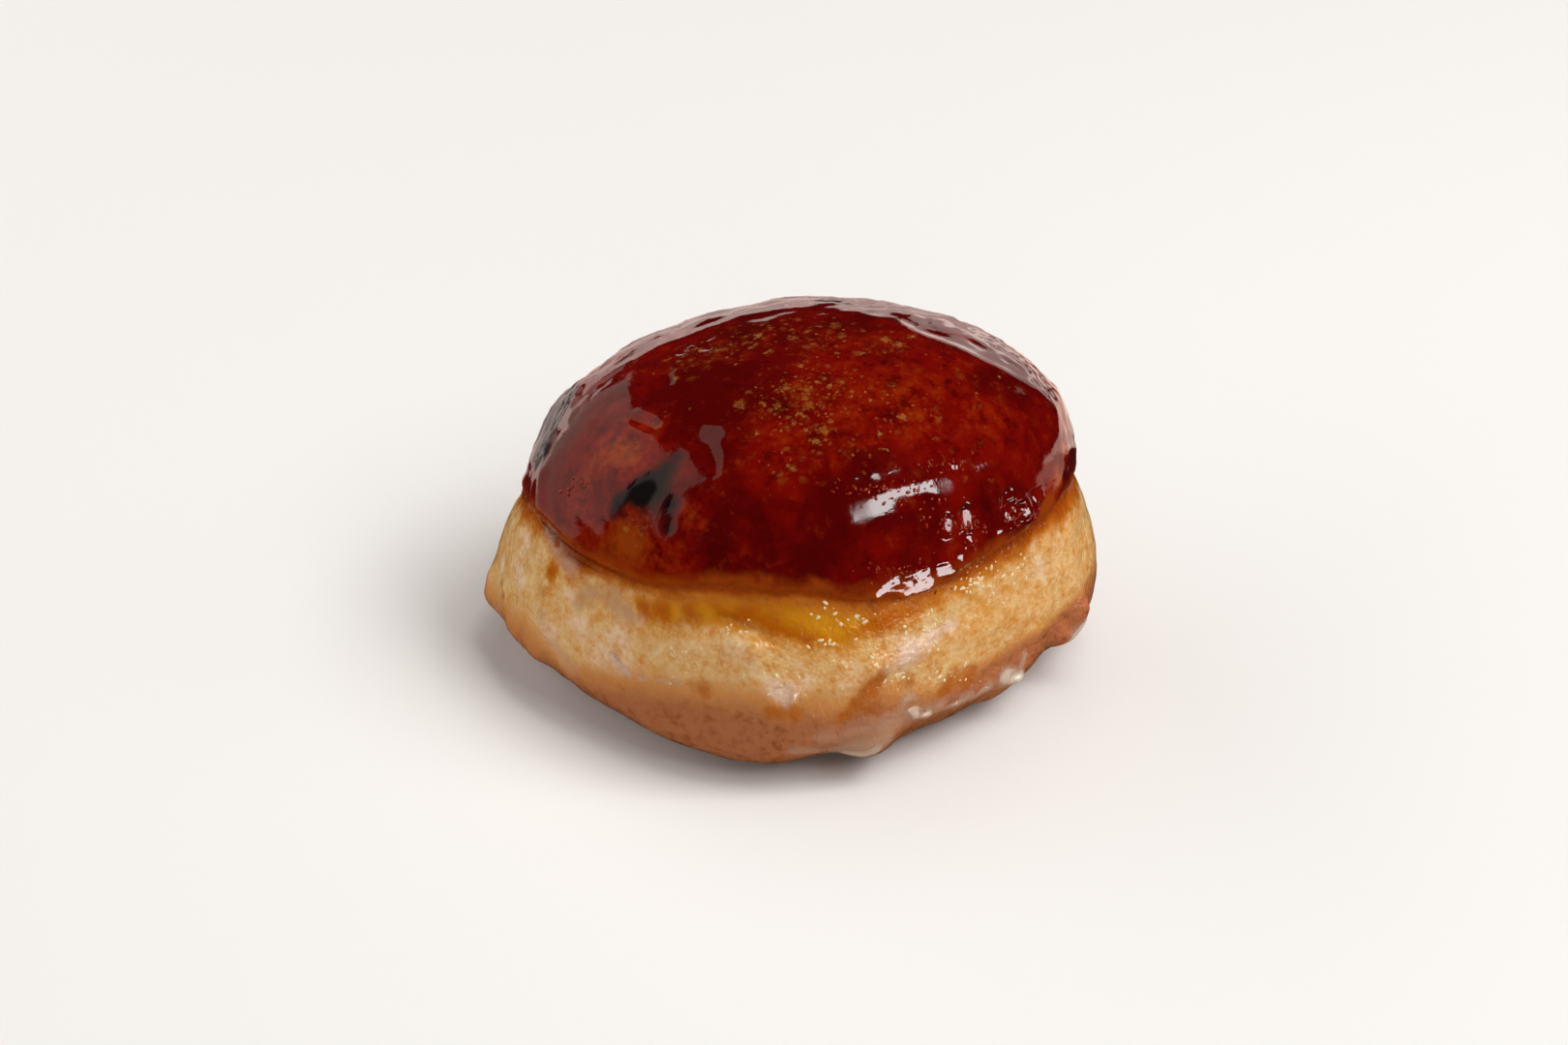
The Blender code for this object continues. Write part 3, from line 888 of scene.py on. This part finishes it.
GLAZE_RUNS = (
    (((632, 678), (640, 688), (650, 696)), 1.0, 0.40),
    (((650, 697), (672, 702), (704, 706)), 0.8, 0.27),
    (((918, 690), (935, 680), (950, 668), (966, 655), (986, 643)), 1.7, 0.28),
    (((932, 682), (947, 672)), 2.4, 0.36),
    (((850, 762), (885, 754), (920, 746), (950, 738)), 2.6, 0.22),
    (((862, 774), (890, 770), (915, 764)), 2.2, 0.28),
    (((872, 776), (892, 778), (908, 772)), 1.4, 0.42), (((820, 775), (848, 775)), 1.2, 0.28),
    (((938, 722), (945, 736)), 1.5, 0.45), (((945, 738), (958, 735)), 1.3, 0.40),
    (((965, 732), (995, 722), (1020, 710)), 1.8, 0.28), (((1038, 700), (1050, 699)), 1.8, 0.62),
    (((1054, 688), (1058, 678)), 1.2, 0.34), (((1102, 650), (1110, 640)), 1.6, 0.5),
    (((801, 712), (812, 731), (826, 713), (812, 708), (801, 712)), 0.7, 0.30),
    (((812, 718),), 1.9, 0.3), (((572, 548), (582, 570), (596, 590)), 2.2, 0.30),
    (((560, 640), (575, 668), (590, 690)), 2.4, 0.24), (((640, 636), (665, 640)), 2.2, 0.22),
    (((512, 625), (530, 650)), 1.4, 0.25),
)
GLAZE_EDGE = 0.12
GLAZE_WALL = 0.3
GLAZE_LIFT = 1.3
GLAZE_CUT = 0.4
GLAZE_UNEVEN = (3.0, 0.15, 41)
GLAZE_GLINTS = (
    (((636, 683), (644, 691)), 0.4), (((647, 694), (652, 697)), 0.4),
    (((664, 701), (672, 703)), 0.3), (((1046, 700), (1052, 698)), 0.6),
    (((926, 684), (936, 680)), 0.45), (((948, 670), (956, 665)), 0.35),
    (((804, 716), (808, 726)), 0.4), (((820, 722), (826, 714)), 0.4),
    (((940, 728), (946, 738)), 0.6), (((952, 738), (960, 735)), 0.5),
    (((978, 730), (990, 724)), 0.4), (((1112, 640), (1116, 634)), 0.6),
    (((1010, 714), (1018, 710)), 0.4), (((576, 552), (580, 562)), 0.4),
)

glaze = copied(skin, "glaze_runs")
points = points_of(glaze)
normals = normals_of(glaze)
film = np.zeros(len(points))
for places, width, height in GLAZE_RUNS:
    film = np.maximum(film, height * np.exp(-(to_path(points, places) / width) ** 2))
wavelength, depth, seed = GLAZE_UNEVEN
film *= 1.0 + depth * ripples(points, wavelength, seed)
bulge = dough_form(points, normals) + (film - GLAZE_EDGE) * GLAZE_LIFT
for places, radius in GLAZE_GLINTS:
    bulge = facet(bulge, places, radius, way_to(STRIP_TURN, STRIP_TILT))
set_points(glaze, points + normals * bulge[:, None])
mark(glaze, "film", film)
trim(glaze, film < GLAZE_CUT * GLAZE_EDGE)
apply_modifier(glaze, "SUBSURF", levels=1, render_levels=1)
apply_modifier(glaze, "SOLIDIFY", thickness=GLAZE_WALL * MM, offset=-1.0)
glaze.data.shade_smooth()

GLAZE_TINT = (0.78, 0.55, 0.40)
GLAZE_WHITE = (0.88, 0.76, 0.61)
GLAZE_ROUGHNESS = 0.08
GLAZE_RELIEF = 0.2

look = Finish("sugar_glaze")
film = look.attribute("film")
cloudy = look.noise(1.6, detail=3.0)
fine = look.noise(0.6, detail=2.0)
colour = look.blend(GLAZE_TINT, GLAZE_WHITE, look.between(film, 0.3, 0.7))
veil = look.between(film, 0.06, 0.5) * 0.75 * (cloudy * 0.9 + 0.35)
surface = look.bump(cloudy * 0.6 + fine * 0.15, 0.25, GLAZE_RELIEF)
look.finish(glaze, Base_Color=colour, Roughness=GLAZE_ROUGHNESS, Alpha=veil, Normal=surface,
            Specular_IOR_Level=1.0)
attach(glaze, "root")

# Glaze beads
# Small drops of clear glaze that sit on the dough. One rounded lump is modelled, and each drop is
# a stretched copy of it, half sunk in what carries it.

DEW_SEED = 51
DEW_FIELDS = (
    ((757, 655), 16, 12, 10), ((850, 634), 14, 12, 8), ((860, 666), 16, 8, 10),
    ((905, 680), 28, 24, 14), ((960, 650), 26, 24, 20), ((1012, 606), 34, 18, 40),
    ((1045, 590), 24, 20, 24), ((985, 700), 26, 14, 14), ((800, 700), 30, 16, 10),
    ((700, 680), 24, 20, 14), ((930, 700), 18, 16, 10), ((1000, 585), 24, 8, 14),
    ((890, 640), 20, 10, 10),
)
DEW_SIZE = (0.10, 0.28)
BEAD_LENGTHS = (0.8, 2.2)
BEAD_FLAT = 0.6
SUNK = -0.1
DEW_AMBER = (0.82, 0.56, 0.26)
DEW_PALE = (0.88, 0.70, 0.44)
DEW_ROUGHNESS = 0.09

deselect_all()
bpy.ops.mesh.primitive_ico_sphere_add(subdivisions=2, radius=1.0 * MM)
lump = bpy.context.view_layer.objects.active
bpy.ops.object.mode_set(mode="EDIT")
bpy.ops.mesh.select_all(action="SELECT")
bpy.ops.transform.resize(value=(1.0, 1.0, BEAD_FLAT))
bpy.ops.object.mode_set(mode="OBJECT")
lump_points = points_of(lump)


def scatter(name, carrier, fields, sizes, seed):
    """Copies of the lump on a piece, strewn over round fields of the photograph, as one piece."""
    draw = np.random.default_rng(seed)
    copies = []
    for (across, down), wide, tall, count in fields:
        for _ in range(count):
            across_shift, down_shift = draw.normal(size=2) * (0.5 * wide, 0.5 * tall)
            size = draw.uniform(*sizes)
            place, normal = strike(carrier, across + across_shift, down + down_shift)
            side = np.cross(normal, draw.normal(size=3))
            side /= np.linalg.norm(side)
            turn = np.stack((side, np.cross(normal, side), normal))
            stretch = np.array((draw.uniform(*BEAD_LENGTHS), 1.0, 1.0)) * size
            twin = copied(lump, name)
            set_points(twin, place + normal * SUNK * size + (lump_points * stretch) @ turn)
            copies.append(twin)
    select_only(*copies)
    bpy.ops.object.join()
    piece = bpy.context.view_layer.objects.active
    piece.data.shade_smooth()
    return piece


bpy.context.view_layer.update()
dew = scatter("glaze_beads", dough, DEW_FIELDS, DEW_SIZE, DEW_SEED)
look = Finish("clear_glaze")
look.finish(dew, Base_Color=look.blend(DEW_AMBER, DEW_PALE, look.noise(2.0)),
            Roughness=DEW_ROUGHNESS, Specular_IOR_Level=0.9)
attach(dew, "root")

# Caramel bubbles
# Small bubbles that set in the hard caramel round its shiny places, most of them in the bright
# streak at the front. Each is a copy of the same rounded lump, half sunk in the caramel.

BUBBLE_SEED = 52
BUBBLE_FIELDS = (
    ((940, 512), 44, 26, 45), ((905, 500), 18, 12, 8), ((985, 540), 26, 12, 26),
    ((940, 595), 42, 14, 50), ((1052, 530), 18, 18, 30), ((655, 540), 16, 14, 14),
    ((593, 505), 13, 14, 14), ((885, 505), 24, 10, 12), ((960, 480), 30, 8, 12),
    ((1000, 545), 20, 10, 20), ((990, 480), 14, 8, 10),
)
BUBBLE_SIZE = (0.12, 0.28)
BUBBLE_ROUGHNESS = 0.06

bubbles = scatter("caramel_bubbles", caramel, BUBBLE_FIELDS, BUBBLE_SIZE, BUBBLE_SEED)
look = Finish("bubble_caramel")
look.finish(bubbles, Base_Color=look.blend(RED, RUSSET, look.noise(2.0)),
            Roughness=BUBBLE_ROUGHNESS)
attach(bubbles, "root")
bpy.data.objects.remove(lump)
bpy.data.objects.remove(skin)

# Floor
# A plain pale table top that runs on far behind. No piece mirrors it, because the pale cards
# further down stand for what the glossy caramel shows of the table.

FLOOR_REACH = 3.0
FLOOR_PALE = (0.83, 0.805, 0.775)
FLOOR_ROUGHNESS = 0.9

deselect_all()
bpy.ops.mesh.primitive_plane_add(size=2.0 * FLOOR_REACH)
floor = bpy.context.view_layer.objects.active
floor.name = "floor"
floor.visible_glossy = False
look = Finish("floor")
look.finish(floor, Base_Color=FLOOR_PALE, Roughness=FLOOR_ROUGHNESS)

# Light
# Big soft lights over the right and behind only light the pieces. What the pieces mirror is apart:
# a strip at the right for all, a small shine for the wet dough, and for the caramel a low strip, a
# card at the left, and pale panels behind and on the table.

# Each light's name, turn, tilt, distance, width, depth and radiance.
LIGHTS = (
    ("softbox", 8.0, 55.0, 1.3, 0.6, 0.6, 8.3),
    ("window", 42.0, 42.0, 1.3, 0.5, 0.5, 5.7),
    ("skylight", -30.0, 72.0, 1.3, 0.5, 0.5, 4.7),
    ("rear", 270.0, 58.0, 1.3, 0.6, 0.6, 1.5),
    ("front", 90.0, 25.0, 1.4, 0.8, 0.5, 1.5),
    ("low", 5.0, 30.0, 1.3, 0.5, 0.4, 1.5),
    ("card_fill", 193.0, 29.0, 0.7, 1.8, 0.4, 0.8),
    ("low_card", 193.0, 20.0, 0.8, 1.8, 0.6, 1.1),
)
CARD_TINT = (1.0, 0.82, 0.70)
BACKDROP_TINT = (1.0, 0.80, 0.74)
PANEL_TINT = (1.0, 0.82, 0.76)
TABLE_TINT = (1.0, 0.78, 0.70)
NEAR_TABLE_TINT = (1.0, 0.55, 0.42)
TABLE_BEHIND = 1.16
TABLE_BESIDE = 0.2
TABLE_BESIDE_TURN = -38.0
ROOM_GREY = (0.01, 0.01, 0.01, 1.0)


def collected(name, *pieces):
    """A group of pieces that a light is tied to."""
    group = bpy.data.collections.new(name)
    for piece in pieces:
        group.objects.link(piece)
    return group


def soft_light(name, turn, tilt, distance, width, depth, radiance, mirrored_by=None, roll=0.0,
               tint=(1.0, 1.0, 1.0)):
    """An area light that faces the doughnut, in the direction that way_to gives.

    With pieces to mirror it, it's only a reflection in them. With none, it only lights."""
    light = bpy.data.lights.new(name, "AREA")
    light.shape = "RECTANGLE"
    light.size = width
    light.size_y = depth
    light.energy = radiance * width * depth * pi
    light.color = tint
    lamp = bpy.data.objects.new(name, light)
    bpy.context.collection.objects.link(lamp)
    way = way_to(turn, tilt)
    lamp.matrix_world = (Matrix.Translation(way * distance)
                         @ way.to_track_quat("Z", "Y").to_matrix().to_4x4()
                         @ Matrix.Rotation(radians(roll), 4, "Z"))
    lamp.visible_camera = False
    lamp.visible_glossy = mirrored_by is not None
    lamp.visible_diffuse = mirrored_by is None
    lamp.light_linking.receiver_collection = mirrored_by
    return lamp


for light in LIGHTS:
    soft_light(*light)
glossy = collected("glossy_pieces", caramel, bubbles)
wet = collected("wet_pieces", dough, glaze, dew)
both = collected("shiny_pieces", caramel, bubbles, dough, glaze, dew)
soft_light("strip", STRIP_TURN, STRIP_TILT, 1.0, 0.58, 0.2, 12.5, both, roll=-24.0)
soft_light("wet_shine", 32.0, 14.0, 1.3, 0.4, 0.22, 6.0, wet)
soft_light("low_strip", LOW_TURN, LOW_TILT, 1.0, 0.22, 0.15, 12.0, glossy)
soft_light("card", CARD_TURN, CARD_TILT, 0.7, 0.95, 0.72, 0.6, glossy, roll=28.0, tint=CARD_TINT)
soft_light("backdrop", 268.0, 3.0, 2.0, 3.6, 0.3, 1.15, glossy, tint=BACKDROP_TINT)
soft_light("side_panel", 297.0, 11.0, 2.0, 1.4, 0.8, 1.2, glossy, tint=PANEL_TINT)

# Two more lie flat on the table and face up: the table as the caramel mirrors it.
just_above = Vector((0.0, 0.0, MM))
face_up = Matrix.Rotation(pi, 4, "X")
table_behind = soft_light("table_behind", 270.0, 0.0, 1.0, 0.5, 2.2, 0.85, glossy, tint=TABLE_TINT)
table_behind.matrix_world = (Matrix.Translation(toward_eye * -TABLE_BEHIND + just_above)
                             @ Matrix.Rotation(EYE_AZIMUTH, 4, "Z") @ face_up)
table_beside = soft_light("table_beside", 0.0, 0.0, 1.0, 0.18, 0.18, 1.1, glossy,
                          tint=NEAR_TABLE_TINT)
table_beside.matrix_world = (
    Matrix.Translation(way_to(TABLE_BESIDE_TURN, 0.0) * TABLE_BESIDE + just_above) @ face_up)

world = bpy.data.worlds.new("studio")
bpy.context.scene.world = world
world.use_nodes = True
world.node_tree.nodes["Background"].inputs["Color"].default_value = ROOM_GREY
bpy.context.scene.view_settings.view_transform = "Standard"
